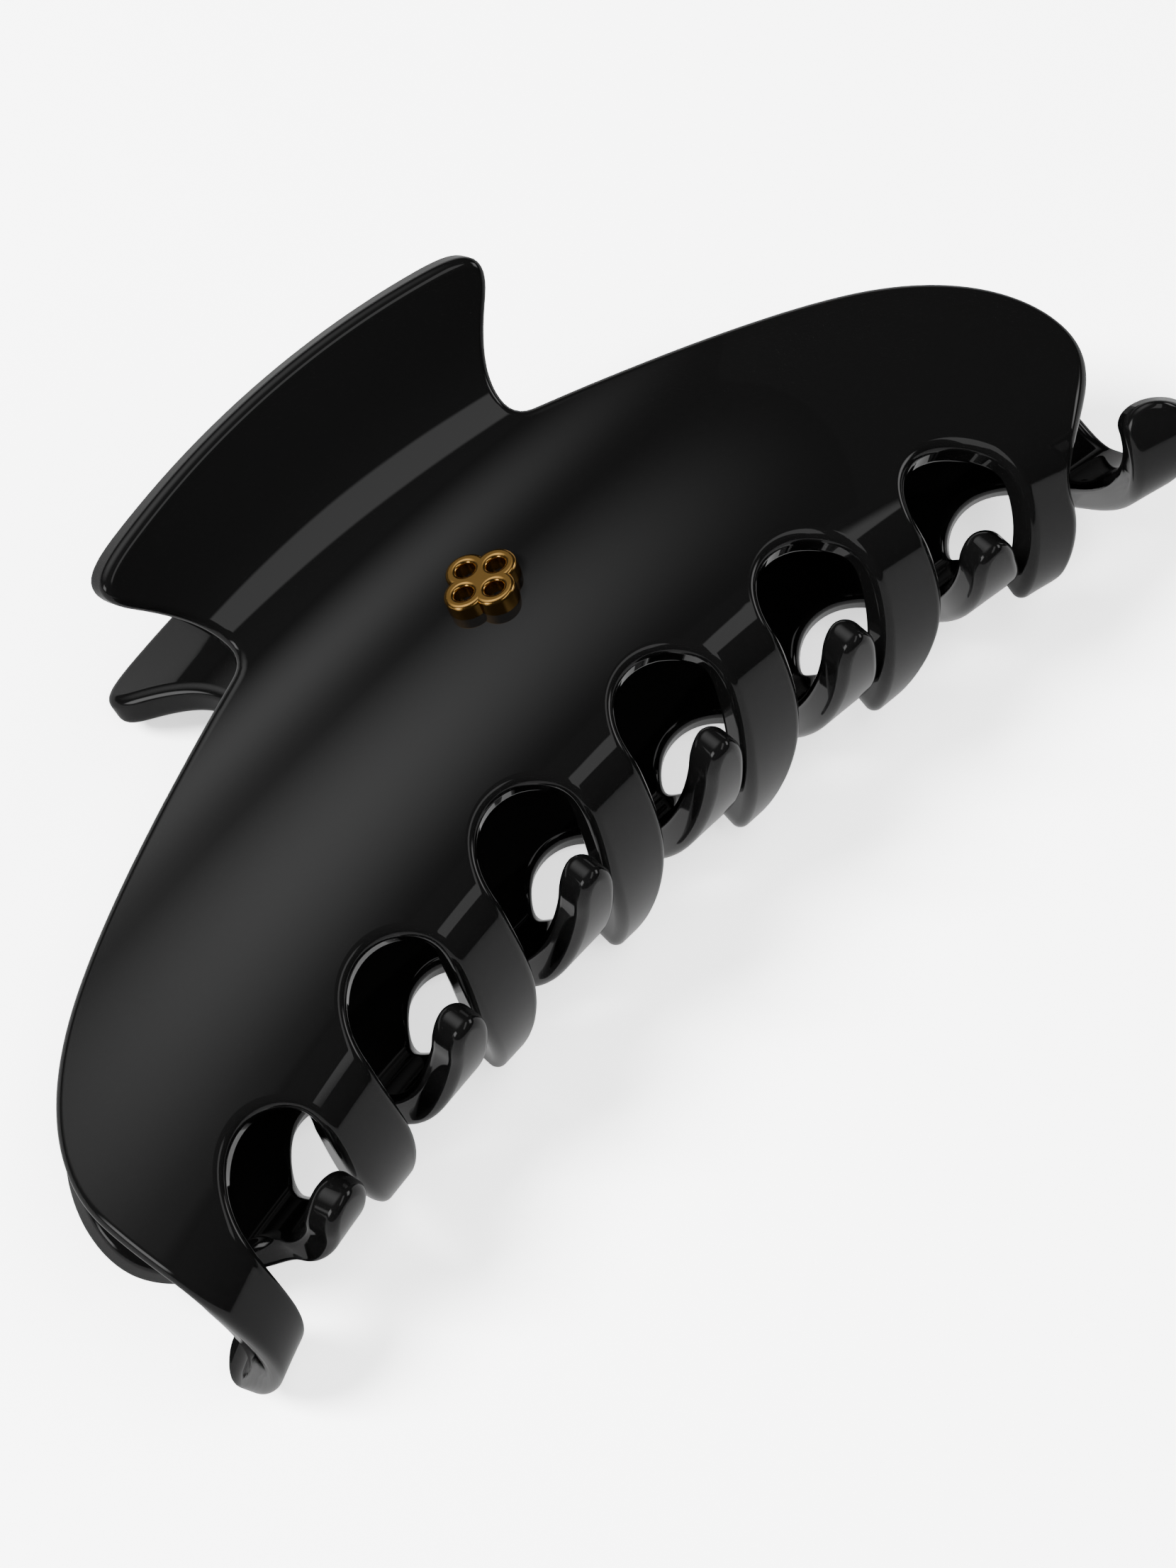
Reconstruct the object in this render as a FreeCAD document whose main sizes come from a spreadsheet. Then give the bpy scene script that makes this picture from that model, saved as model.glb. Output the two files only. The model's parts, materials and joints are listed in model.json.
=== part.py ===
import FreeCAD, Part
import math
import os

# Claw hair clip: two identical formed jaws, back to back on a sprung steel hinge.
# Clip frame while building: X along the clip, Z up to the thumb handles, front jaw
# on the -Y side, hinge pin on the X axis. The last step lays the clip down.

os.makedirs("parts", exist_ok=True)
doc = FreeCAD.newDocument("claw_clip")
V = FreeCAD.Vector

# ---------------------------------------------------------------- driving dimensions
sheet = doc.addObject("Spreadsheet::Sheet", "dims")
DIMS = [
    ("pitch", 19.0, "tooth pitch; every outline ratio below is times this"),
    ("thickness", 3.7, "acetate sheet"),
    ("rimRound", 0.5, "rounding of the sheet's polished edges"),
    ("halfWaistGap", 10.85, "mid plane to the outer face at the waist"),
    ("handleAngle", -34.8, "slope of the handle, degrees from upright"),
    ("bodyAngle", 29.7, "slope just under the waist"),
    ("neckAngle", -1.4, "slope where the arches start"),
    ("toothAngle", -64.8, "slope where the teeth start"),
    ("tipAngle", -98.0, "slope at the middle of the teeth"),
    ("padLength", 30.0, "hinge seat on the inside of the waist"),
    ("padHeight", 10.0, "hinge seat height"),
    ("padFace", 5.7, "hinge seat face to the mid plane"),
    ("leafThick", 1.0, "hinge leaf plate"),
    ("leafLength", 28.0, "hinge leaf length"),
    ("leafBelow", 4.5, "leaf plate below the pin"),
    ("leafAbove", 7.5, "leaf plate above the pin"),
    ("earRadius", 3.0, "ear round the pin"),
    ("earOuter", 13.0, "inner face of the outer ear"),
    ("earInner", 11.6, "inner face of the inner ear"),
    ("pinRadius", 1.25, "hinge pin"),
    ("pinClear", 0.05, "radial clearance of the ears on the pin"),
    ("pinHead", 2.2, "pin head radius"),
    ("wire", 1.2, "spring wire"),
    ("coilRadius", 2.75, "spring coil, mean"),
    ("coilLength", 19.2, "spring coil length"),
    ("coilTurns", 12.5, "turns, half a turn puts the legs on opposite leaves"),
    ("legReach", 6.6, "height of the leg ends above the pin"),
    ("bushRadius", 1.95, "bush inside the coil"),
    ("screwX", 7.0, "leaf screw either side of the middle"),
    ("screwRadius", 1.0, "leaf screw shank"),
    ("screwHead", 1.9, "countersunk head"),
    ("screwLength", 3.6, "leaf screw"),
    ("emblemLobe", 2.15, "ornament lobe radius"),
    ("emblemOffset", 2.05, "ornament lobe centre"),
    ("emblemEye", 0.95, "hole in each lobe"),
    ("emblemRise", 1.7, "ornament height over the sheet"),
    ("studRadius", 0.5, "ornament stud"),
    ("studOffset", 0.62, "ornament stud centre"),
    ("studDepth", 2.2, "ornament stud length in the sheet"),
    ("lieAngle", 1.1, "tilt of the closed clip lying on its rear jaw"),
]
for row, (name, value, note) in enumerate(DIMS, start=1):
    sheet.set("A%d" % row, name)
    sheet.set("B%d" % row, str(value))
    sheet.set("C%d" % row, note)
    sheet.setAlias("B%d" % row, name)
doc.recompute()
D = {name: float(sheet.get(name)) for name, value, note in DIMS}

P = D["pitch"]
TH = D["thickness"]
TEETH = 7

# ---------------------------------------------------------------- jaw mid-line
# arc length s is 0 at the waist, negative up the handle, positive down to the teeth
WAIST_S = 0.068 * P
WAIST_W = 1.2 * P
NECK_S = 1.661 * P
BEND_LEN = 0.528 * P
TIP_S = 3.6 * P


def smooth(t):
    t = min(max(t, 0.0), 1.0)
    return t * t * (3 - 2 * t)


def slope(s):
    """Angle of the sheet at s, from straight down, outward positive."""
    h, b, n = (math.radians(D[k]) for k in ("handleAngle", "bodyAngle", "neckAngle"))
    t, e = (math.radians(D[k]) for k in ("toothAngle", "tipAngle"))
    top = WAIST_S + WAIST_W / 2
    if s < top:
        return h + (b - h) * smooth((s - WAIST_S + WAIST_W / 2) / WAIST_W)
    if s < NECK_S:
        return b + (n - b) * (s - top) / (NECK_S - top)
    if s < NECK_S + BEND_LEN:
        return n + (t - n) * smooth((s - NECK_S) / BEND_LEN)
    return t + (e - t) * (s - NECK_S - BEND_LEN) / (TIP_S - NECK_S - BEND_LEN)


STEP = P / 200.0
S_LOW = -1.7 * P
S_HIGH = 4.9 * P


def integrate():
    """Outward distance and height of the outer face along s, one entry per STEP."""
    count = int(round((S_HIGH - S_LOW) / STEP))
    start = int(round(-S_LOW / STEP))
    ys, zs = [0.0], [0.0]
    for i in range(count):
        a = slope(S_LOW + (i + 0.5) * STEP)
        ys.append(ys[-1] + math.sin(a) * STEP)
        zs.append(zs[-1] - math.cos(a) * STEP)
    y0 = ys[start] - D["halfWaistGap"]
    z0 = zs[start]
    return [y - y0 for y in ys], [z - z0 for z in zs]


YS, ZS = integrate()


# the sheet also sags towards its ends: outward and upright drop per x squared, against s,
# extra on the handle, extra along the teeth, where it levels off towards the end teeth
SAG_Y = (0.056, -0.004, 0.086, -0.015)
SAG_Z = (-0.009, 0.021, -0.047, -0.010)
SAG_TEETH = 1.6
SAG_BLEND = 0.3
LEVEL = 0.4
LEVEL_FROM = 2.4
LEVEL_OVER = 1.4


def sag(q, terms):
    """Drop per x squared and its change along s, then the same of the teeth's own part."""
    w = math.hypot(q, SAG_BLEND)
    t = max(q - SAG_TEETH, 0.0)
    drop = terms[0] + terms[1] * q + terms[2] * (q - w) / 2
    change = terms[1] + terms[2] * (1 - q / w) / 2
    return drop, change, terms[3] * t * t, 2 * terms[3] * t


def spread(u):
    """Sideways build-up of the teeth's own sag, and its change."""
    v = min(max((abs(u) - LEVEL_FROM) / LEVEL_OVER, 0.0), 1.0)
    hold = 1 - LEVEL * smooth(v)
    rate = -LEVEL * 6 * v * (1 - v) / LEVEL_OVER
    return u * u * hold, 2 * u * hold + u * abs(u) * rate


def place(x, s, depth):
    """Point of the front jaw: x along the clip, s along the sheet, depth under its outer face."""
    f = (s - S_LOW) / STEP
    i = min(max(int(f), 0), len(YS) - 2)
    f -= i
    a = slope(s)
    u = x / P
    w, dw = spread(u)
    by, dby, ty, dty = sag(s / P, SAG_Y)
    bz, dbz, tz, dtz = sag(s / P, SAG_Z)
    y = YS[i] + (YS[i + 1] - YS[i]) * f - (by * u * u + ty * w) * P
    z = ZS[i] + (ZS[i + 1] - ZS[i]) * f - (bz * u * u + tz * w) * P
    along = (math.sin(a) - dby * u * u - dty * w, -math.cos(a) - dbz * u * u - dtz * w)
    across = (-2 * by * u - ty * dw, -2 * bz * u - tz * dw)
    n = V(across[0] * along[1] - across[1] * along[0], -along[1], along[0])
    n.normalize()
    return V(x - depth * n.x, -(y - depth * n.y), z - depth * n.z)


# ---------------------------------------------------------------- jaw outline in (x, s)
HALF_WAIST = 0.986 * P
NOTCH_S = -0.055 * P
NOTCH_R = 0.10 * P
FLARE = 0.65 * P
FLARE_LEN = 1.06 * P
FLARE_END = -0.56 * P
CROWN_S = -0.946 * P
CROWN_BOW = 0.096
CROWN_HALF = 1.10 * P
CORNER = (1.43 * P, -0.755 * P)
HALF_BODY = 3.515 * P
BODY_END_S = 1.411 * P
TOOTH_SHIFT = -0.25 * P
ARCH_S = 1.611 * P
ARCH_BOW = 0.009
ARCH_HALF = 0.312 * P
ARCH_RISE = 0.324 * P
SLOT_HALF = 0.295 * P
SLOT_S = 1.035 * P
MOUTH_HALF = 0.348 * P
TIP_ROUND = 0.28 * P
TOOTH_LEN = 2.233 * P
TOOTH_BOW = -0.050
CONVERGE = 0.065
SKEW = -0.066 * P
END_TOOTH = (-0.07 * P, 0.78 * P)
END_WIDTH = 0.32 * P
SHEET_HALF = 3.68 * P
SHEET_TOP = -1.3 * P
SHEET_LOW = 4.3 * P


def arch_top(x):
    return ARCH_S + ARCH_BOW * x * x / P


def tooth_len(x):
    return TOOTH_LEN + TOOTH_BOW * x * x / P


def bezier(a, b, c, d, n=16):
    out = []
    for i in range(n + 1):
        t = i / n
        k = ((1 - t) ** 3, 3 * t * (1 - t) ** 2, 3 * t * t * (1 - t), t ** 3)
        out.append(tuple(k[0] * a[j] + k[1] * b[j] + k[2] * c[j] + k[3] * d[j] for j in (0, 1)))
    return out


def slot_half(t, length):
    if t < SLOT_S:
        return ARCH_HALF + (SLOT_HALF - ARCH_HALF) * smooth((t - ARCH_RISE) / (SLOT_S - ARCH_RISE))
    return SLOT_HALF + (MOUTH_HALF - SLOT_HALF) * smooth((t - SLOT_S) / (length - SLOT_S))


def drift(x, t):
    """Sideways set of the teeth: they close in on the middle and lean a little to one end."""
    return -CONVERGE * x * smooth((t / P - 0.4) / 1.8) + SKEW * (t / (2.1 * P)) ** 2


def tooth_tip(k):
    """Centre x and s of the end of tooth k (1..7)."""
    x = (k - 4) * P + TOOTH_SHIFT
    s = arch_top(x) + tooth_len(x)
    x += SKEW - CONVERGE * x
    if k == 1:
        return x + END_TOOTH[0], s + END_TOOTH[1]
    return x, s


def slot_points(k):
    """Slot k between tooth k and k + 1: left flank up, arch, right flank down."""
    xc = (k - 3.5) * P + TOOTH_SHIFT
    top = arch_top(xc)
    out = {}
    for side, tooth in ((-1, k), (1, k + 1)):
        length = tooth_tip(tooth)[1] - top
        lean = END_TOOTH[0] if tooth == 1 else 0.0
        pts = []
        n = 22
        for i in range(1, n + 1):
            t = ARCH_RISE + (length - TIP_ROUND - ARCH_RISE) * i / n
            x = xc + side * slot_half(t, length) + drift(xc, t) + lean * smooth((t / P - 0.5) / 1.6)
            pts.append((x, top + t))
        out[side] = pts
    arch = []
    n = 16
    for i in range(n + 1):
        a = math.pi * i / n
        t = ARCH_RISE * (1 - math.sin(a))
        arch.append((xc - ARCH_HALF * math.cos(a) + drift(xc, t), top + t))
    left = out[-1][::-1] + [arch[0]]
    right = [arch[-1]] + out[1]
    return left, arch, right


def tip_points(k, left_x, right_x):
    """Rounded end of tooth k, right to left."""
    tip_x, tip_s = tooth_tip(k)
    mid = (left_x + right_x) / 2
    half = (right_x - left_x) / 2
    out = []
    n = 12
    for i in range(n + 1):
        a = math.pi * i / n
        out.append((mid + half * math.cos(a), tip_s - TIP_ROUND + TIP_ROUND * math.sin(a)))
    return out


def rounded(a, corner, b, n=10):
    """Rounded corner between a and b."""
    c, d = ([p[j] + (corner[j] - p[j]) * 0.75 for j in (0, 1)] for p in (a, b))
    return bezier(a, c, d, b, n)


def outline_pieces():
    """Closed outline as a list of open point lists, each ending where the next starts."""
    pieces = []
    # handle, right notch to left notch
    side = []
    n = 12
    for i in range(n + 1):
        q = NOTCH_S + (FLARE_END - NOTCH_S) * i / n
        side.append((HALF_WAIST + FLARE * smooth((NOTCH_S - q) / FLARE_LEN), q))
    crown = []
    n = 16
    for i in range(n + 1):
        x = CROWN_HALF * (1 - 2 * i / n)
        crown.append((x, CROWN_S + CROWN_BOW * x * x / P))
    corner = rounded(side[-1], CORNER, crown[0])
    pieces.append(side)
    pieces.append(corner)
    pieces.append(crown)
    pieces.append([(-x, s) for x, s in corner[::-1]])
    pieces.append([(-x, s) for x, s in side[::-1]])
    # left notch and left body edge
    notch = []
    n = 8
    for i in range(n + 1):
        a = math.radians(75.0) * i / n
        notch.append((HALF_WAIST + NOTCH_R * (1 - math.cos(a)), NOTCH_S + NOTCH_R * math.sin(a)))
    start = notch[-1]
    edge = bezier(start, (start[0] + 1.16 * P, start[1] + 0.31 * P),
                  (HALF_BODY, 0.80 * P), (HALF_BODY, BODY_END_S), 24)
    pieces.append([(-x, s) for x, s in notch])
    pieces.append([(-x, s) for x, s in edge])
    # left end down to tooth 1
    slots = [slot_points(k) for k in range(1, TEETH)]
    tip1_x, tip1_s = tooth_tip(1)
    right_flank = slots[0][0][0][0]
    left_flank = right_flank - END_WIDTH
    low = (left_flank + 0.05 * P, 2.9 * P)
    pieces.append(bezier((-HALF_BODY, BODY_END_S), (-HALF_BODY, 1.75 * P), (low[0], 2.3 * P), low, 16))
    end = (left_flank, tip1_s - TIP_ROUND)
    pieces.append(bezier(low, (low[0], 3.2 * P), (end[0], end[1] - 0.3 * P), end, 8))
    pieces.append(tip_points(1, left_flank, right_flank)[::-1])
    # slots and tips
    for k in range(1, TEETH):
        left, arch, right = slots[k - 1]
        pieces.append(left)
        pieces.append(arch)
        pieces.append(right)
        x0 = right[-1][0]
        tip_x, tip_s = tooth_tip(k + 1)
        if k + 1 < TEETH:
            x1 = slots[k][0][0][0]
        else:
            x1 = x0 + END_WIDTH
        pieces.append(tip_points(k + 1, x0, x1)[::-1])
    # right end
    tip_x, tip_s = tooth_tip(TEETH)
    end = pieces[-1][-1]
    low = (2.84 * P, 2.35 * P)
    pieces.append(bezier(end, (end[0], end[1] - 0.35 * P), (low[0], low[1] + 0.3 * P), low, 8))
    pieces.append(bezier(low, (low[0] + 0.02 * P, 1.85 * P), (HALF_BODY, 1.80 * P),
                         (HALF_BODY, BODY_END_S), 16))
    pieces.append(edge[::-1])
    pieces.append(notch[::-1])
    return pieces


def spline(points):
    curve = Part.BSplineCurve()
    count = len(points) - 1
    curve.interpolate(Points=points, Parameters=[i / count for i in range(count + 1)])
    return curve.toShape()


def formed_sheet():
    """Untrimmed doubly curved sheet, lofted through cross sections along X."""
    wires = []
    ends = 10
    for k in range(ends + 1):
        x = SHEET_HALF * (2 * k / ends - 1)
        n = 46
        ss = [SHEET_TOP + (SHEET_LOW - SHEET_TOP) * i / n for i in range(n + 1)]
        outer = [place(x, s, 0.0) for s in ss]
        inner = [place(x, s, TH) for s in ss]
        e1, e2 = spline(outer), spline(inner)
        low, top = Part.makeLine(outer[-1], inner[-1]), Part.makeLine(inner[0], outer[0])
        wires.append(Part.Wire([e1, low, e2, top]))
    return Part.makeLoft(wires, True, False)


def curtain():
    """Wall that crosses the sheet at right angles along the outline."""
    faces = []
    for pts in outline_pieces():
        a = [place(x, s, -1.2) for x, s in pts]
        b = [place(x, s, TH + 1.2) for x, s in pts]
        faces.append(Part.makeRuledSurface(spline(a), spline(b)))
    return Part.Shell(faces)


def trimmed_jaw():
    """Formed sheet cut to the outline, with its polished edges rounded."""
    pieces = formed_sheet().generalFuse([curtain()])[0]
    core = place(0.0, P, TH / 2)
    jaw = [s for s in pieces.Solids if s.isInside(core, 0.01, True)][0]
    skins = sorted(jaw.Faces, key=lambda f: -f.Area)[:2]
    rims = [e for f in skins for e in f.Edges]
    return jaw.makeFillet(D["rimRound"], rims)


# ---------------------------------------------------------------- document helpers
def expr(obj, **kw):
    for key, value in kw.items():
        obj.setExpression(key.replace("_", "."), value)
    return obj


def at(obj, x, y, z):
    obj.setExpression("Placement.Base.x", x)
    obj.setExpression("Placement.Base.y", y)
    obj.setExpression("Placement.Base.z", z)
    return obj


def box(name, length, width, height, x, y, z):
    obj = doc.addObject("Part::Box", name)
    expr(obj, Length=length, Width=width, Height=height)
    return at(obj, x, y, z)


def rod(name, radius, height, x, y="0 mm", z="0 mm"):
    """Cylinder along +X starting at x."""
    obj = doc.addObject("Part::Cylinder", name)
    obj.Placement.Rotation = FreeCAD.Rotation(V(0, 1, 0), 90)
    expr(obj, Radius=radius, Height=height)
    return at(obj, x, y, z)


def fuse(name, parts):
    obj = doc.addObject("Part::MultiFuse", name)
    obj.Shapes = parts
    obj.Refine = True
    return obj


def cut(name, base, tool):
    obj = doc.addObject("Part::Cut", name)
    obj.Base = base
    obj.Tool = tool
    return obj


def turned(name, source):
    """The same part half a turn round the clip's upright axis."""
    obj = doc.addObject("App::Link", name)
    obj.LinkedObject = source
    obj.LinkTransform = False
    obj.Placement = FreeCAD.Placement(V(0, 0, 0), FreeCAD.Rotation(V(0, 0, 1), 180))
    return obj


NODES = {}


def node(name, obj):
    obj.Label = name
    NODES[name] = obj


# ---------------------------------------------------------------- leaf screws
def screw(name, side):
    """Countersunk screw along -Y; x is side * screwX."""
    shank = doc.addObject("Part::Cylinder", name + "_shank")
    shank.Placement.Rotation = FreeCAD.Rotation(V(1, 0, 0), 90)
    expr(shank, Radius="dims.screwRadius", Height="dims.screwLength")
    x = "%d * dims.screwX" % side
    at(shank, x, "dims.leafThick - dims.padFace", "0 mm")
    head = doc.addObject("Part::Cone", name + "_head")
    head.Placement.Rotation = FreeCAD.Rotation(V(1, 0, 0), 90)
    expr(head, Radius1="dims.screwHead", Radius2="dims.screwRadius", Height="0.9 * dims.leafThick")
    at(head, x, "dims.leafThick - dims.padFace", "0 mm")
    body = fuse(name + "_body", [shank, head])
    slot = box(name + "_slot", "2 * dims.screwHead + 1", "0.45", "0.5",
               "%d * dims.screwX - dims.screwHead - 0.5" % side,
               "dims.leafThick - dims.padFace - 0.45", "-0.25")
    return body, cut(name + "_slotted", body, slot)


screw_l_body, screw_l = screw("screw_l", -1)
screw_r_body, screw_r = screw("screw_r", 1)
screw_bodies = fuse("screw_bodies", [screw_l_body, screw_r_body])

# ---------------------------------------------------------------- jaw
formed = doc.addObject("Part::Feature", "formed_jaw")
formed.Shape = trimmed_jaw()
pad = box("hinge_pad", "dims.padLength", "9 - dims.padFace", "dims.padHeight",
          "-dims.padLength / 2", "-9", "-dims.padHeight / 2")
pad_round = doc.addObject("Part::Fillet", "hinge_pad_round")
pad_round.Base = pad
doc.recompute()
upright = [i + 1 for i, e in enumerate(pad.Shape.Edges) if abs(e.BoundBox.YLength - e.Length) < 0.01]
pad_round.Edges = [(i, 2.5, 2.5) for i in upright]
jaw_solid = fuse("jaw_solid", [formed, pad_round])
jaw = cut("jaw", jaw_solid, screw_bodies)

# ---------------------------------------------------------------- hinge leaf
plate = box("leaf_plate", "dims.leafLength", "dims.leafThick", "dims.leafBelow + dims.leafAbove",
            "-dims.leafLength / 2", "-dims.padFace", "-dims.leafBelow")
ears = []
for tag, x in (("outer", "dims.earOuter"), ("inner", "-dims.earInner - dims.leafThick")):
    arm = box("ear_arm_" + tag, "dims.leafThick", "dims.padFace", "2 * dims.earRadius",
              x, "-dims.padFace", "-dims.earRadius")
    eye = rod("ear_eye_" + tag, "dims.earRadius", "dims.leafThick", x)
    ears += [arm, eye]
leaf_solid = fuse("leaf_solid", [plate] + ears)
pin_hole = rod("pin_hole", "dims.pinRadius + dims.pinClear", "40", "-20")
leaf_bored = cut("leaf_bored", leaf_solid, pin_hole)
leaf = cut("leaf", leaf_bored, screw_bodies)

# ---------------------------------------------------------------- pin, cap and bush
pin_end = "dims.earOuter + dims.leafThick + 0.1"
shaft = rod("pin_shaft", "dims.pinRadius", "2 * (%s) + 1.3" % pin_end, "-(%s) - 1.3" % pin_end)
pin_head = rod("pin_head", "dims.pinHead", "1", pin_end)
pin = fuse("pin", [shaft, pin_head])
cap_disc = rod("cap_disc", "dims.pinHead", "1", "-(%s) - 1" % pin_end)
cap = cut("cap", cap_disc, shaft)
bush_out = rod("bush_out", "dims.bushRadius", "dims.coilLength", "-dims.coilLength / 2")
bush_in = rod("bush_in", "dims.pinRadius + dims.pinClear", "40", "-20")
bush = cut("bush", bush_out, bush_in)


# ---------------------------------------------------------------- torsion spring
def spring_shape():
    r, w, half = D["coilRadius"], D["wire"] / 2, D["coilLength"] / 2
    reach = D["legReach"]
    touch = D["padFace"] - D["leafThick"] - w - 0.02
    lean = 0.2
    for _ in range(20):
        lean = math.atan((touch - r / math.cos(lean)) / reach)
    a0 = math.pi + lean
    sweep = math.pi - 2 * lean + 2 * math.pi * math.floor(D["coilTurns"])
    lead = 2 * half / (sweep * r)
    ring = Part.Wire([Part.makeCircle(w, V(r, 0, 0), V(0, 1, lead))])
    helix = Part.Wire(Part.makeHelix(2 * half * 2 * math.pi / sweep, 2 * half, r))
    coil = helix.makePipeShell([ring], True, True)
    turn = FreeCAD.Rotation(V(1, 0, 0), math.degrees(a0)).multiply(
        FreeCAD.Rotation(V(1, 1, 1), 120))
    coil.Placement = FreeCAD.Placement(V(-half, 0, 0), turn)
    leg = (reach + r * math.sin(lean)) / math.cos(lean)
    up = V(0, 0, math.cos(lean))
    legs = []
    for side in (-1, 1):
        foot = V(side * half, side * r * math.cos(lean), -r * math.sin(lean))
        way = V(side * lead, side * math.sin(lean), 0) + up
        legs.append(Part.makeCylinder(w, leg, foot, way))
    return coil.fuse(legs)


spring = doc.addObject("Part::Feature", "spring")
spring.Shape = spring_shape()

# ---------------------------------------------------------------- gold ornament
EMBLEM_X = 1.5
EMBLEM_S = 0.72 * P
seat = place(EMBLEM_X, EMBLEM_S, 0.0)
tilt = math.degrees(slope(EMBLEM_S))
SEAT = FreeCAD.Placement(seat, FreeCAD.Rotation(V(1, 0, 0), 90 - tilt))


def seated(kind, name, local, **kw):
    obj = doc.addObject(kind, name)
    expr(obj, **kw)
    obj.Placement = SEAT.multiply(FreeCAD.Placement(local, FreeCAD.Rotation()))
    return obj


SINK = 1.0
lobes, eyes, studs = [], [], []
for i in range(4):
    a = math.pi / 2 * i
    d = D["emblemOffset"]
    c = V(d * math.cos(a), d * math.sin(a), -SINK)
    lobes.append(seated("Part::Cylinder", "lobe%d" % i, c, Radius="dims.emblemLobe",
                        Height="dims.emblemRise + %g" % SINK))
    c = V(c.x * 1.06, c.y * 1.06, -SINK - 1)
    eyes.append(seated("Part::Cylinder", "eye%d" % i, c, Radius="dims.emblemEye", Height="6"))
ornament = fuse("ornament_lobes", lobes)
eye_set = fuse("ornament_eyes", eyes)
pierced = cut("ornament_pierced", ornament, eye_set)
doc.recompute()
soft = doc.addObject("Part::Fillet", "ornament_soft")
soft.Base = pierced
tops = []
up = SEAT.Rotation.multVec(V(0, 0, 1))
for i, e in enumerate(pierced.Shape.Edges):
    h = [(v.Point - seat).dot(up) for v in e.Vertexes]
    if all(abs(x - D["emblemRise"]) < 0.01 for x in h):
        tops.append((i + 1, 0.4, 0.4))
soft.Edges = tops
for i in (-1, 1):
    c = V(i * D["studOffset"], 0, -D["studDepth"])
    studs.append(seated("Part::Cylinder", "stud%d" % (i + 1), c, Radius="dims.studRadius",
                        Height="dims.studDepth + 1"))
stud_pair = fuse("stud_pair", studs)
front_jaw = cut("front_jaw_solid", jaw, stud_pair)
above = cut("ornament_above", soft, jaw)
ornament_full = fuse("ornament_full", [above, stud_pair])

node("front_jaw", front_jaw)
node("rear_jaw", turned("rear_jaw_link", jaw))
node("ornament", ornament_full)
node("front_leaf", leaf)
node("rear_leaf", turned("rear_leaf_link", leaf))
node("hinge_pin", pin)
node("pin_cap", cap)
node("spring_bush", bush)
node("torsion_spring", spring)
node("front_screw_left", screw_l)
node("front_screw_right", screw_r)
node("rear_screw_left", turned("rear_screw_left_link", screw_r))
node("rear_screw_right", turned("rear_screw_right_link", screw_l))
doc.recompute()

for obj in doc.Objects:
    if "Invalid" in obj.State or "Error" in obj.State:
        raise RuntimeError("%s: %s" % (obj.Label, obj.State))

# ---------------------------------------------------------------- lay it down and write it
lie = FreeCAD.Placement(V(0, 0, 0), FreeCAD.Rotation(V(1, 0, 0), D["lieAngle"] - 90))
shapes = {}
low = [1e9] * 3
high = [-1e9] * 3
for name, obj in NODES.items():
    shape = Part.getShape(obj).copy()
    shape.Placement = lie.multiply(shape.Placement)
    if not shape.isValid() or shape.Volume <= 0:
        raise RuntimeError("bad shape " + name)
    if len(shape.Solids) != 1:
        raise RuntimeError("%s has %d solids" % (name, len(shape.Solids)))
    shapes[name] = shape
    for p in shape.tessellate(0.02)[0]:
        for i in range(3):
            low[i] = min(low[i], p[i])
            high[i] = max(high[i], p[i])
move = FreeCAD.Placement(V(-(low[0] + high[0]) / 2, -(low[1] + high[1]) / 2, -low[2]),
                         FreeCAD.Rotation())
print("size mm", [round(h - l, 2) for h, l in zip(high, low)])
axis = move.multVec(lie.multVec(V(0, 0, 0)))
print("hinge axis at mm", round(axis.x, 3), round(axis.y, 3), round(axis.z, 3))
for name, shape in shapes.items():
    shape.Placement = move.multiply(shape.Placement)
    shape.exportStep("parts/%s.step" % name)
    print(name, round(shape.Volume, 1), "mm3")
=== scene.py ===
import json
import math

import bpy
from mathutils import Matrix, Vector
from mathutils.geometry import delaunay_2d_cdt


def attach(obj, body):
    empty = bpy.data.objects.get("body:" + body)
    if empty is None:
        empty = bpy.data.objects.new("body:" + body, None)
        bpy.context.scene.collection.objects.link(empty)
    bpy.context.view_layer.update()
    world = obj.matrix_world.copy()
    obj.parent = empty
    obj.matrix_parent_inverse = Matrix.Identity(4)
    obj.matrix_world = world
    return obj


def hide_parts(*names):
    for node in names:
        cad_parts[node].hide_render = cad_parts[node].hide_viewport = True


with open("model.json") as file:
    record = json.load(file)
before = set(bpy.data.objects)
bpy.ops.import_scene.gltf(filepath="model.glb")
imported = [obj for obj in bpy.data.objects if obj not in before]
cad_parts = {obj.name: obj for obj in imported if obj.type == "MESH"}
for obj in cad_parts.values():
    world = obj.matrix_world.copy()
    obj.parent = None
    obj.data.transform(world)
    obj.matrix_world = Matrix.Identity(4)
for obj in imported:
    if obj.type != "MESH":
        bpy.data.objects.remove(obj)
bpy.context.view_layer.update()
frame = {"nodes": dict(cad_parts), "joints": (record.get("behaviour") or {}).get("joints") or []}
MM = 0.001
scene = bpy.context.scene

# ------------------------------------------------------------------ clip frame to row frame
# The clip lies on its rear jaw: the hinge pin is the origin of the clip frame.
PIN = Vector(frame["joints"][0]["pos_m"])
LIE = math.radians(1.1)
TO_ROW = Matrix(((1, 0, 0), (0, math.sin(LIE), math.cos(LIE)), (0, -math.cos(LIE), math.sin(LIE))))
HALF_TURN = Matrix(((-1, 0, 0), (0, -1, 0), (0, 0, 1)))

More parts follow.
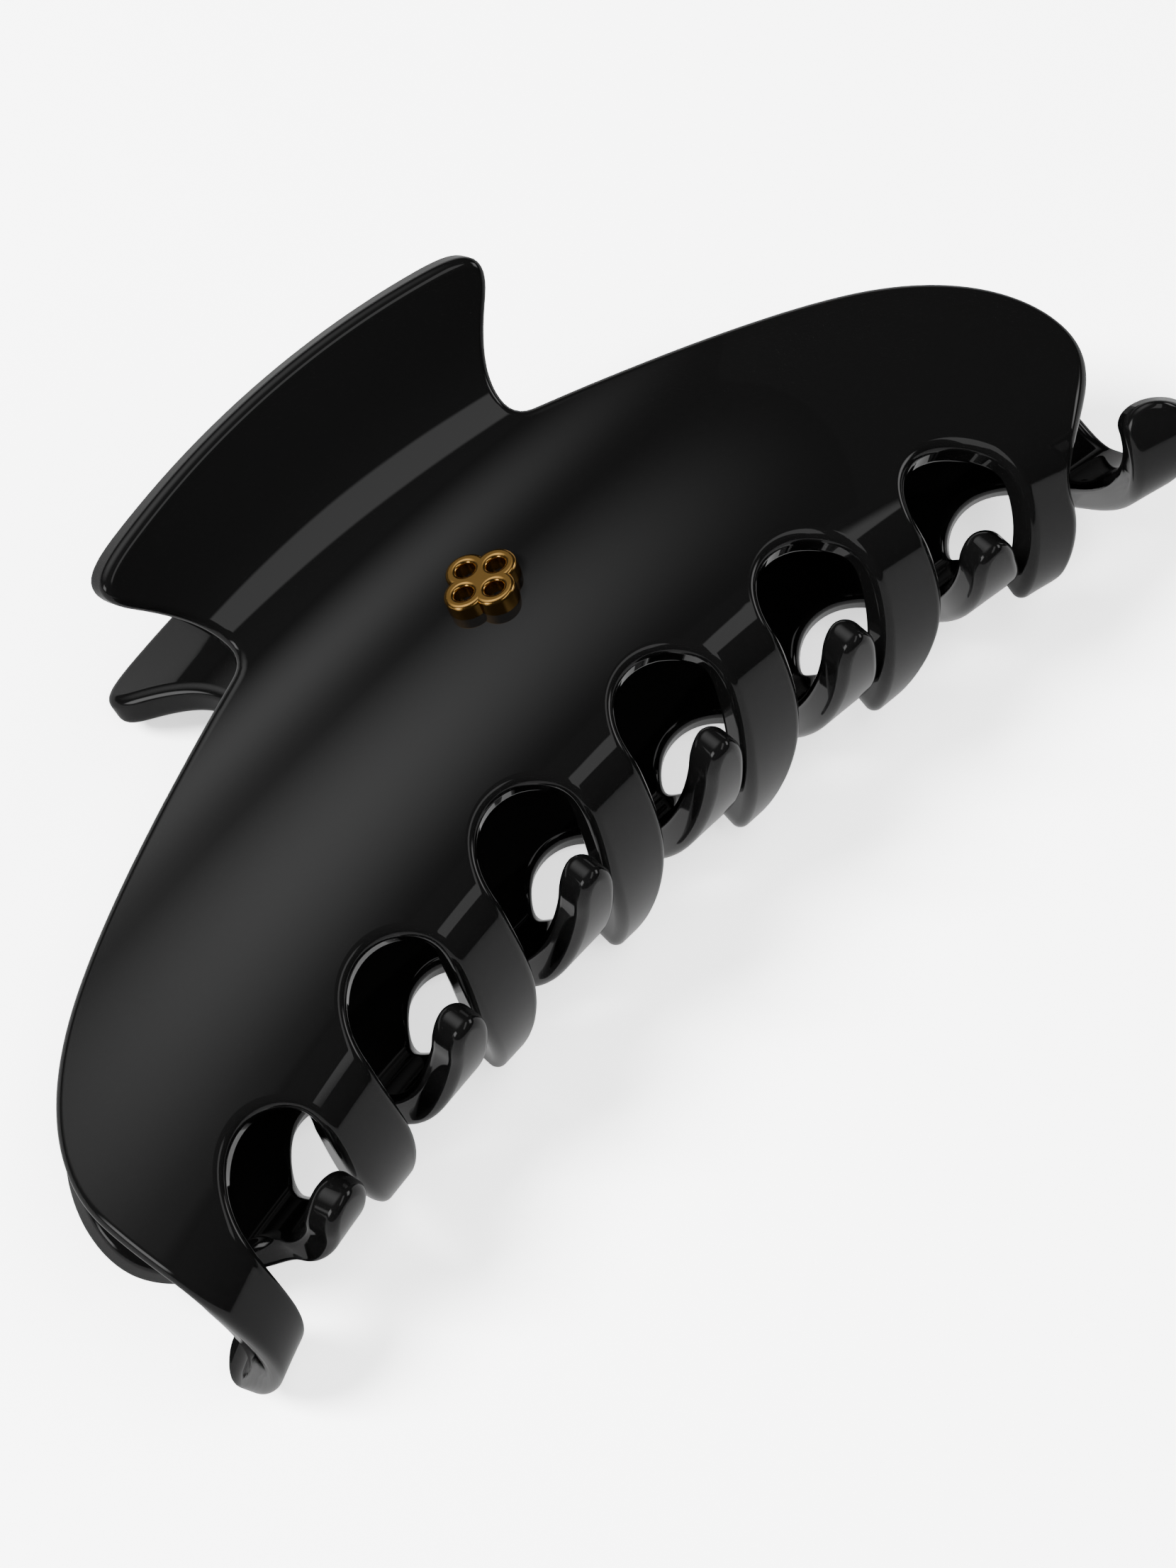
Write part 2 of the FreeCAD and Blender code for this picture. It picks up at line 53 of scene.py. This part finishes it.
# ------------------------------------------------------------------ jaw shape, the same as the CAD's
# s runs down the sheet from the waist, x along the clip, u and q are x and s in tooth pitches
P = 19.0
TH = 3.7
RIM = 1.1
HANDLE_A, BODY_A, NECK_A, TOOTH_A, TIP_A = (math.radians(a) for a in (-34.8, 29.7, -1.4, -64.8, -98.0))
WAIST_S, WAIST_W, NECK_S, BEND_LEN, TIP_S = 0.068 * P, 1.2 * P, 1.661 * P, 0.528 * P, 3.6 * P
HALF_WAIST_GAP = 10.85
STEP = P / 200.0
S_LOW, S_HIGH = -1.7 * P, 4.9 * P
TEETH = 7


def smooth(t):
    t = min(max(t, 0.0), 1.0)
    return t * t * (3 - 2 * t)


def slope(s):
    top = WAIST_S + WAIST_W / 2
    if s < top:
        return HANDLE_A + (BODY_A - HANDLE_A) * smooth((s - WAIST_S + WAIST_W / 2) / WAIST_W)
    if s < NECK_S:
        return BODY_A + (NECK_A - BODY_A) * (s - top) / (NECK_S - top)
    if s < NECK_S + BEND_LEN:
        return NECK_A + (TOOTH_A - NECK_A) * smooth((s - NECK_S) / BEND_LEN)
    return TOOTH_A + (TIP_A - TOOTH_A) * (s - NECK_S - BEND_LEN) / (TIP_S - NECK_S - BEND_LEN)


def integrate():
    count = int(round((S_HIGH - S_LOW) / STEP))
    start = int(round(-S_LOW / STEP))
    ys, zs = [0.0], [0.0]
    for i in range(count):
        a = slope(S_LOW + (i + 0.5) * STEP)
        ys.append(ys[-1] + math.sin(a) * STEP)
        zs.append(zs[-1] - math.cos(a) * STEP)
    y0, z0 = ys[start] - HALF_WAIST_GAP, zs[start]
    return [y - y0 for y in ys], [z - z0 for z in zs]


YS, ZS = integrate()
SAG_Y = (0.056, -0.004, 0.086, -0.015)
SAG_Z = (-0.009, 0.021, -0.047, -0.010)
SAG_TEETH, SAG_BLEND = 1.6, 0.3
LEVEL, LEVEL_FROM, LEVEL_OVER = 0.4, 2.4, 1.4


def sag(q, terms):
    """Drop per u squared and its change along s, then the same of the teeth's own part."""
    w = math.hypot(q, SAG_BLEND)
    t = max(q - SAG_TEETH, 0.0)
    drop = terms[0] + terms[1] * q + terms[2] * (q - w) / 2
    change = terms[1] + terms[2] * (1 - q / w) / 2
    return drop, change, terms[3] * t * t, 2 * terms[3] * t


def spread(u):
    """Sideways build-up of the teeth's own sag, and its change."""
    v = min(max((abs(u) - LEVEL_FROM) / LEVEL_OVER, 0.0), 1.0)
    hold = 1 - LEVEL * smooth(v)
    return u * u * hold, 2 * u * hold - u * abs(u) * LEVEL * 6 * v * (1 - v) / LEVEL_OVER


def sheet_point(x, s):
    """Point on the outer face and the unit normal there."""
    f = (s - S_LOW) / STEP
    i = min(max(int(f), 0), len(YS) - 2)
    f -= i
    a = slope(s)
    u = x / P
    w, dw = spread(u)
    by, dby, ty, dty = sag(s / P, SAG_Y)
    bz, dbz, tz, dtz = sag(s / P, SAG_Z)
    y = YS[i] + (YS[i + 1] - YS[i]) * f - (by * u * u + ty * w) * P
    z = ZS[i] + (ZS[i + 1] - ZS[i]) * f - (bz * u * u + tz * w) * P
    along = (math.sin(a) - dby * u * u - dty * w, -math.cos(a) - dbz * u * u - dtz * w)
    across = (-2 * by * u - ty * dw, -2 * bz * u - tz * dw)
    n = Vector((across[0] * along[1] - across[1] * along[0], along[1], along[0])).normalized()
    return Vector((x, -y, z)), n


def place(x, s, depth):
    point, n = sheet_point(x, s)
    return point - n * depth


def tangents(x, s):
    e = 0.15
    px = (place(x + e, s, 0) - place(x - e, s, 0)).normalized()
    ps = (place(x, s + e, 0) - place(x, s - e, 0)).normalized()
    return px, ps, sheet_point(x, s)[1]


HALF_WAIST, NOTCH_S, NOTCH_R = 0.986 * P, -0.055 * P, 0.10 * P
FLARE, FLARE_LEN, FLARE_END = 0.65 * P, 1.06 * P, -0.56 * P
CROWN_S, CROWN_BOW, CROWN_HALF = -0.946 * P, 0.096, 1.10 * P
CORNER = (1.43 * P, -0.755 * P)
HALF_BODY, BODY_END_S = 3.515 * P, 1.411 * P
TOOTH_SHIFT = -0.25 * P
ARCH_S, ARCH_BOW = 1.611 * P, 0.009
ARCH_HALF, ARCH_RISE = 0.312 * P, 0.324 * P
SLOT_HALF, SLOT_S, MOUTH_HALF = 0.295 * P, 1.035 * P, 0.348 * P
TOOTH_LEN, TOOTH_BOW = 2.233 * P, 0.050
TIP_ROUND, END_WIDTH = 0.28 * P, 0.32 * P
CONVERGE, SKEW = 0.065, -0.066 * P
END_TOOTH = (-0.07 * P, 0.78 * P)


def arch_top(x):
    return ARCH_S + ARCH_BOW * x * x / P


def bezier(a, b, c, d, n=16):
    out = []
    for i in range(n + 1):
        t = i / n
        k = ((1 - t) ** 3, 3 * t * (1 - t) ** 2, 3 * t * t * (1 - t), t ** 3)
        out.append(tuple(k[0] * a[j] + k[1] * b[j] + k[2] * c[j] + k[3] * d[j] for j in (0, 1)))
    return out


def slot_half(t, length):
    if t < SLOT_S:
        return ARCH_HALF + (SLOT_HALF - ARCH_HALF) * smooth((t - ARCH_RISE) / (SLOT_S - ARCH_RISE))
    return SLOT_HALF + (MOUTH_HALF - SLOT_HALF) * smooth((t - SLOT_S) / (length - SLOT_S))


def drift(x, t):
    return -CONVERGE * x * smooth((t / P - 0.4) / 1.8) + SKEW * (t / (2.1 * P)) ** 2


def tooth_tip(k):
    x = (k - 4) * P + TOOTH_SHIFT
    s = arch_top(x) + TOOTH_LEN - TOOTH_BOW * x * x / P
    x += SKEW - CONVERGE * x
    return (x + END_TOOTH[0], s + END_TOOTH[1]) if k == 1 else (x, s)


def slot_points(k):
    xc = (k - 3.5) * P + TOOTH_SHIFT
    top = arch_top(xc)
    out = {}
    for side, tooth in ((-1, k), (1, k + 1)):
        length = tooth_tip(tooth)[1] - top
        lean = END_TOOTH[0] if tooth == 1 else 0.0
        pts = []
        for i in range(1, 31):
            t = ARCH_RISE + (length - TIP_ROUND - ARCH_RISE) * i / 30
            x = xc + side * slot_half(t, length) + drift(xc, t) + lean * smooth((t / P - 0.5) / 1.6)
            pts.append((x, top + t))
        out[side] = pts
    arch = []
    for i in range(25):
        a = math.pi * i / 24
        t = ARCH_RISE * (1 - math.sin(a))
        arch.append((xc - ARCH_HALF * math.cos(a) + drift(xc, t), top + t))
    return out[-1][::-1], arch, out[1]


def tip_points(k, x0, x1):
    tip_s = tooth_tip(k)[1]
    mid, half = (x0 + x1) / 2, (x1 - x0) / 2
    return [(mid - half * math.cos(math.pi * i / 14),
             tip_s - TIP_ROUND + TIP_ROUND * math.sin(math.pi * i / 14)) for i in range(15)]


def outline():
    """Closed outline of the flat sheet in (x, s)."""
    side = []
    for i in range(15):
        q = NOTCH_S + (FLARE_END - NOTCH_S) * i / 14
        side.append((HALF_WAIST + FLARE * smooth((NOTCH_S - q) / FLARE_LEN), q))
    crown = []
    for i in range(31):
        x = CROWN_HALF * (1 - i / 15)
        crown.append((x, CROWN_S + CROWN_BOW * x * x / P))
    c, d = ([p[j] + (CORNER[j] - p[j]) * 0.75 for j in (0, 1)] for p in (side[-1], crown[0]))
    side += bezier(side[-1], c, d, crown[0], 20)
    notch = []
    for i in range(9):
        a = math.radians(75.0) * i / 8
        notch.append((HALF_WAIST + NOTCH_R * (1 - math.cos(a)), NOTCH_S + NOTCH_R * math.sin(a)))
    start = notch[-1]
    edge = bezier(start, (start[0] + 1.16 * P, start[1] + 0.31 * P),
                  (HALF_BODY, 0.80 * P), (HALF_BODY, BODY_END_S), 60)
    pts = side + crown + [(-x, s) for x, s in side[::-1]]
    pts += [(-x, s) for x, s in notch + edge]
    slots = [slot_points(k) for k in range(1, TEETH)]
    right = slots[0][0][0][0]
    left = right - END_WIDTH
    low = (left + 0.05 * P, 2.9 * P)
    end = (left, tooth_tip(1)[1] - TIP_ROUND)
    pts += bezier((-HALF_BODY, BODY_END_S), (-HALF_BODY, 1.75 * P), (low[0], 2.3 * P), low, 30)
    pts += bezier(low, (low[0], 3.2 * P), (end[0], end[1] - 0.3 * P), end, 12)
    pts += tip_points(1, left, right)
    for k in range(1, TEETH):
        l, arch, r = slots[k - 1]
        pts += l + arch + r
        x0 = r[-1][0]
        x1 = slots[k][0][0][0] if k + 1 < TEETH else x0 + END_WIDTH
        pts += tip_points(k + 1, x0, x1)
    end = pts[-1]
    low = (2.84 * P, 2.35 * P)
    pts += bezier(end, (end[0], end[1] - 0.35 * P), (low[0], low[1] + 0.3 * P), low, 14)
    pts += bezier(low, (low[0] + 0.02 * P, 1.85 * P), (HALF_BODY, 1.80 * P), (HALF_BODY, BODY_END_S), 30)
    pts += edge[::-1] + notch[::-1]
    return pts


def resample(pts, gap):
    """Even spacing along a closed line."""
    clean = [Vector(pts[0])]
    for p in pts[1:]:
        if (Vector(p) - clean[-1]).length > 1e-4:
            clean.append(Vector(p))
    if (clean[0] - clean[-1]).length < 1e-4:
        clean.pop()
    total = [0.0]
    loop = clean + [clean[0]]
    for a, b in zip(loop, loop[1:]):
        total.append(total[-1] + (b - a).length)
    n = int(total[-1] / gap)
    out, j = [], 0
    for i in range(n):
        d = total[-1] * i / n
        while total[j + 1] < d:
            j += 1
        f = (d - total[j]) / (total[j + 1] - total[j])
        out.append(loop[j].lerp(loop[j + 1], f))
    return out


def soften(pts, rounds):
    for _ in range(rounds):
        n = len(pts)
        pts = [pts[i - 1] * 0.25 + pts[i] * 0.5 + pts[(i + 1) % n] * 0.25 for i in range(n)]
    return pts


def inside(p, poly):
    hit = False
    for a, b in zip(poly, poly[1:] + poly[:1]):
        if (a.y > p.y) != (b.y > p.y) and p.x < (b.x - a.x) * (p.y - a.y) / (b.y - a.y) + a.x:
            hit = not hit
    return hit


# spacing of points along the outline and in the skins, the bucket size that looks up
# neighbours, and how near the outline a skin point may be
EDGE_GAP, SKIN_GAP, BUCKET, CLEAR = 0.55, 1.15, 1.2, 0.62


def jaw_mesh():
    """Rounded rims and walls in rings along the outline, then both skins."""
    line = soften(resample(outline(), EDGE_GAP), 3)
    n = len(line)
    area = sum(line[i - 1].x * line[i].y - line[i].x * line[i - 1].y for i in range(n))
    turn = 1.0 if area > 0 else -1.0
    out_dir = []
    for i in range(n):
        t = (line[(i + 1) % n] - line[i - 1]).normalized()
        out_dir.append(Vector((t.y, -t.x)) * turn)
    rings = []
    steps = 7
    for j in range(steps + 1):
        a = math.pi / 2 * j / steps
        rings.append((RIM * (1 - math.sin(a)), RIM * (1 - math.cos(a)), math.cos(a), math.sin(a)))
    for j in range(1, 3):
        rings.append((0.0, RIM + (TH - 2 * RIM) * j / 3, 0.0, 1.0))
    for j in range(steps + 1):
        a = math.pi / 2 * (1 - j / steps)
        rings.append((RIM * (1 - math.sin(a)), TH - RIM * (1 - math.cos(a)), -math.cos(a), math.sin(a)))
    verts, normals, faces = [], [], []

    def add(x, s, depth, flat, side, d):
        px, ps, nn = tangents(x, s)
        verts.append(place(x, s, depth))
        edge = (px * d.x + ps * d.y) if side else Vector((0, 0, 0))
        normals.append((nn * flat + edge * side).normalized())

    for inset, depth, flat, side in rings:
        for i in range(n):
            q = line[i] - out_dir[i] * inset
            add(q.x, q.y, depth, flat, side, out_dir[i])
    for r in range(len(rings) - 1):
        for i in range(n):
            j = (i + 1) % n
            quad = (r * n + i, r * n + j, (r + 1) * n + j, (r + 1) * n + i)
            a, b, c, d = (verts[k] for k in quad)
            want = normals[quad[0]] + normals[quad[1]] + normals[quad[2]] + normals[quad[3]]
            faces.append(quad if (c - a).cross(d - b).dot(want) > 0 else quad[::-1])
    # both skins share one flat triangulation of the inset outline
    loop = [line[i] - out_dir[i] * RIM for i in range(n)]
    grid = []
    cells = {}
    for p in loop:
        cells.setdefault((int(p.x // BUCKET), int(p.y // BUCKET)), []).append(p)
    rows = int((S_HIGH - S_LOW) / (SKIN_GAP * 0.866))
    for r in range(rows):
        s = S_LOW + r * SKIN_GAP * 0.866
        for c in range(-62, 63):
            p = Vector((c * SKIN_GAP + (r % 2) * SKIN_GAP / 2, s))
            near = False
            cx, cy = int(p.x // BUCKET), int(p.y // BUCKET)
            for a in (-1, 0, 1):
                for b in (-1, 0, 1):
                    for q in cells.get((cx + a, cy + b), ()):
                        if (q - p).length < CLEAR:
                            near = True
            if not near and inside(p, loop):
                grid.append(p)
    border = [(i, (i + 1) % n) for i in range(n)]
    flat, _, tris, origin, _, _ = delaunay_2d_cdt(loop + grid, border, [], 1, 1e-6)
    for top in (True, False):
        index = {}
        ring = 0 if top else len(rings) - 1
        for i, p in enumerate(flat):
            src = [o for o in origin[i] if o < n]
            if src:
                index[i] = ring * n + src[0]
            else:
                index[i] = len(verts)
                add(p.x, p.y, 0.0 if top else TH, 1.0 if top else -1.0, 0.0, p)
        for t in tris:
            ids = [index[i] for i in t]
            a, b, c = (verts[i] for i in ids)
            want = normals[ids[0]] + normals[ids[1]] + normals[ids[2]]
            if (b - a).cross(c - a).dot(want) < 0:
                ids = ids[::-1]
            faces.append(tuple(ids))
    return verts, normals, faces


def pad_mesh():
    """Hinge seat on the inside of the waist, with rounded upright edges."""
    half, up, r = 15.0, 5.0, 2.5
    outer, inner = -8.6, -5.7
    ring = []
    corners = ((half - r, up - r, 0), (-half + r, up - r, 90),
               (-half + r, -up + r, 180), (half - r, -up + r, 270))
    for cx, cz, a0 in corners:
        for i in range(9):
            a = math.radians(a0 + 90 * i / 8)
            ring.append((cx + r * math.cos(a), cz + r * math.sin(a)))
    n = len(ring)
    verts, faces = [], []
    for y in (outer, inner):
        for x, z in ring:
            verts.append(Vector((x, y, z)))
    for i in range(n):
        j = (i + 1) % n
        faces.append((i, i + n, j + n, j))
    faces.append(tuple(range(n, 2 * n)))
    return verts, faces


def make(name, verts, faces, normals=None, matrix=None):
    mesh = bpy.data.meshes.new(name)
    turn = TO_ROW if matrix is None else TO_ROW @ matrix
    mesh.from_pydata([(turn @ v) * MM + PIN for v in verts], [], faces)
    mesh.validate()
    obj = bpy.data.objects.new(name, mesh)
    scene.collection.objects.link(obj)
    if normals:
        mesh.shade_smooth()
        mesh.normals_split_custom_set_from_vertices([turn @ n for n in normals])
    return obj


# ------------------------------------------------------------------ materials
def principled(name, color, rough, metal=0.0, **sockets):
    mat = bpy.data.materials.new(name)
    mat.use_nodes = True
    b = mat.node_tree.nodes["Principled BSDF"]
    b.inputs["Base Color"].default_value = (*color, 1)
    b.inputs["Roughness"].default_value = rough
    b.inputs["Metallic"].default_value = metal
    for key, value in sockets.items():
        b.inputs[key.replace("_", " ")].default_value = value
    return mat


black = principled("black_acetate", (0.0015, 0.0015, 0.0015), 0.035, IOR=1.49)
gold = principled("gold", (0.80, 0.46, 0.13), 0.22, 1.0)
steel = principled("hinge_steel", (0.60, 0.60, 0.61), 0.28, 1.0)
wire = principled("spring_steel", (0.48, 0.48, 0.50), 0.24, 1.0)
bush_mat = principled("bush_plastic", (0.03, 0.03, 0.03), 0.5)

# ------------------------------------------------------------------ jaws
verts, normals, faces = jaw_mesh()
pad_verts, pad_faces = pad_mesh()
for node, body, turn in (("front_jaw", "front_half", None), ("rear_jaw", "rear_half", HALF_TURN)):
    jaw = make(node + "_shell", verts, faces, normals, turn)
    jaw.data.materials.append(black)
    pad = make(node + "_pad", pad_verts, pad_faces, None, turn)
    pad.data.materials.append(black)
    for obj in (jaw, pad):
        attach(obj, body)
    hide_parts(node)

# ------------------------------------------------------------------ metal and bush: CAD nodes with finishes
finishes = {"ornament": gold, "spring_bush": bush_mat, "torsion_spring": wire}
for node in ("front_leaf", "rear_leaf", "hinge_pin", "pin_cap"):
    finishes[node] = steel
for half in ("front", "rear"):
    for side in ("left", "right"):
        finishes["%s_screw_%s" % (half, side)] = steel
for node, mat in finishes.items():
    o = frame["nodes"][node]
    o.data.materials.clear()
    o.data.materials.append(mat)

# ------------------------------------------------------------------ stage, light and camera
def plane(name, w, h, where, look, mat, camera=True):
    mesh = bpy.data.meshes.new(name)
    corners = [(-w / 2, -h / 2, 0), (w / 2, -h / 2, 0), (w / 2, h / 2, 0), (-w / 2, h / 2, 0)]
    mesh.from_pydata(corners, [], [(0, 1, 2, 3)])
    mesh.uv_layers.new(name="UVMap")
    obj = bpy.data.objects.new(name, mesh)
    scene.collection.objects.link(obj)
    where = Vector(where)
    if look is not None:
        obj.rotation_euler = (Vector(look) - where).to_track_quat("Z", "Y").to_euler()
    obj.location = where
    mesh.materials.append(mat)
    obj.visible_camera = camera
    return obj


floor_mat = principled("floor", (0.93, 0.93, 0.93), 0.6)
floor_sockets = floor_mat.node_tree.nodes["Principled BSDF"].inputs
floor_sockets["Specular IOR Level"].default_value = 0.0
floor_sockets["Emission Color"].default_value = (1, 1, 1, 1)
floor_sockets["Emission Strength"].default_value = 1.3
floor = plane("floor", 6, 6, (0, 0, 0), None, floor_mat)
floor.visible_glossy = False


def glow(name, strength, soft_x, soft_y):
    """Light panel that fades towards its edges."""
    mat = bpy.data.materials.new(name)
    mat.use_nodes = True
    nt = mat.node_tree
    nt.nodes.clear()
    out = nt.nodes.new("ShaderNodeOutputMaterial")
    em = nt.nodes.new("ShaderNodeEmission")
    uv = nt.nodes.new("ShaderNodeUVMap")
    sep = nt.nodes.new("ShaderNodeSeparateXYZ")
    nt.links.new(uv.outputs[0], sep.inputs[0])
    values = []
    for axis, soft in (("X", soft_x), ("Y", soft_y)):
        sub = nt.nodes.new("ShaderNodeMath")
        sub.operation = "PINGPONG"
        sub.inputs[1].default_value = 0.5
        nt.links.new(sep.outputs[axis], sub.inputs[0])
        ramp = nt.nodes.new("ShaderNodeMapRange")
        ramp.interpolation_type = "SMOOTHSTEP"
        ramp.inputs["From Min"].default_value = 0.0
        ramp.inputs["From Max"].default_value = max(0.5 * soft, 1e-3)
        nt.links.new(sub.outputs[0], ramp.inputs["Value"])
        values.append(ramp.outputs[0])
    mul = nt.nodes.new("ShaderNodeMath")
    mul.operation = "MULTIPLY"
    nt.links.new(values[0], mul.inputs[0])
    nt.links.new(values[1], mul.inputs[1])
    amp = nt.nodes.new("ShaderNodeMath")
    amp.operation = "MULTIPLY"
    nt.links.new(mul.outputs[0], amp.inputs[0])
    amp.inputs[1].default_value = strength
    nt.links.new(amp.outputs[0], em.inputs["Strength"])
    nt.links.new(em.outputs[0], out.inputs["Surface"])
    return mat


CLIP = (0, 0, 0.02)


def panel(name, w, h, where, strength, soft_x, soft_y):
    """Light panel that faces the clip; its material is named like it, with glow for panel."""
    mat = glow(name.replace("panel", "glow"), strength, soft_x, soft_y)
    return plane(name, w, h, where, CLIP, mat, camera=False)


# broad softbox behind the clip: the wide grey sheen on the body
panel("back_panel", 2.8, 1.9, (-0.10, 0.85, 0.95), 1.15, 1.0, 1.0)
# narrow hard-edged box overhead: the bright line where the teeth turn down
panel("top_panel", 1.4, 0.36, (0.32, -0.42, 1.0), 1.0, 0.3, 0.2)
# low boxes at the sides: the thin highlights along the rims and the walls of the arches
panel("left_panel", 0.5, 0.5, (-0.85, 0.05, 0.30), 3.0, 0.6, 0.6)
panel("right_panel", 0.7, 0.4, (0.95, -0.30, 0.40), 2.4, 0.6, 0.6)
# what the polished faces see of the table: much dimmer than the lit floor, which they don't see
sheen = plane("table_sheen", 2.4, 2.4, (0, 0, 0.0002), None, glow("sheen_glow", 0.5, 0.9, 0.9), camera=False)
sheen.visible_diffuse = False
sheen.visible_shadow = False
sheen.visible_transmission = False


def area(name, where, size, power):
    data = bpy.data.lights.new(name, "AREA")
    data.shape = "DISK"
    data.size = size
    data.energy = power
    obj = bpy.data.objects.new(name, data)
    scene.collection.objects.link(obj)
    obj.location = where
    obj.rotation_euler = (-Vector(where)).to_track_quat("-Z", "Y").to_euler()
    obj.visible_glossy = False
    obj.visible_camera = False
    return obj


area("key", (-0.6, 0.5, 1.1), 0.5, 110)
area("fill", (0.3, -0.5, 1.3), 1.4, 95)

world = bpy.data.worlds.new("studio")
scene.world = world
world.use_nodes = True
world.node_tree.nodes["Background"].inputs[0].default_value = (1, 1, 1, 1)
world.node_tree.nodes["Background"].inputs[1].default_value = 0.02

cam_data = bpy.data.cameras.new("camera")
cam = bpy.data.objects.new("camera", cam_data)
scene.collection.objects.link(cam)
cam_data.sensor_fit = "HORIZONTAL"
cam_data.sensor_width = 36.0
cam_data.lens = 130.86
cam_data.clip_start = 0.01
AZ, EL, ROLL = (math.radians(a) for a in (-50.606, 68.459, 5.354))
back = Vector((math.sin(AZ) * math.cos(EL), -math.cos(AZ) * math.cos(EL), math.sin(EL)))
level = Vector((math.cos(AZ), math.sin(AZ), 0))
right = level * math.cos(ROLL) + back.cross(level) * math.sin(ROLL)
basis = Matrix((right, back.cross(right), back)).transposed().to_4x4()
cam.matrix_world = Matrix.Translation(PIN + Vector((-0.120332, -0.128239, 0.389742))) @ basis
scene.camera = cam
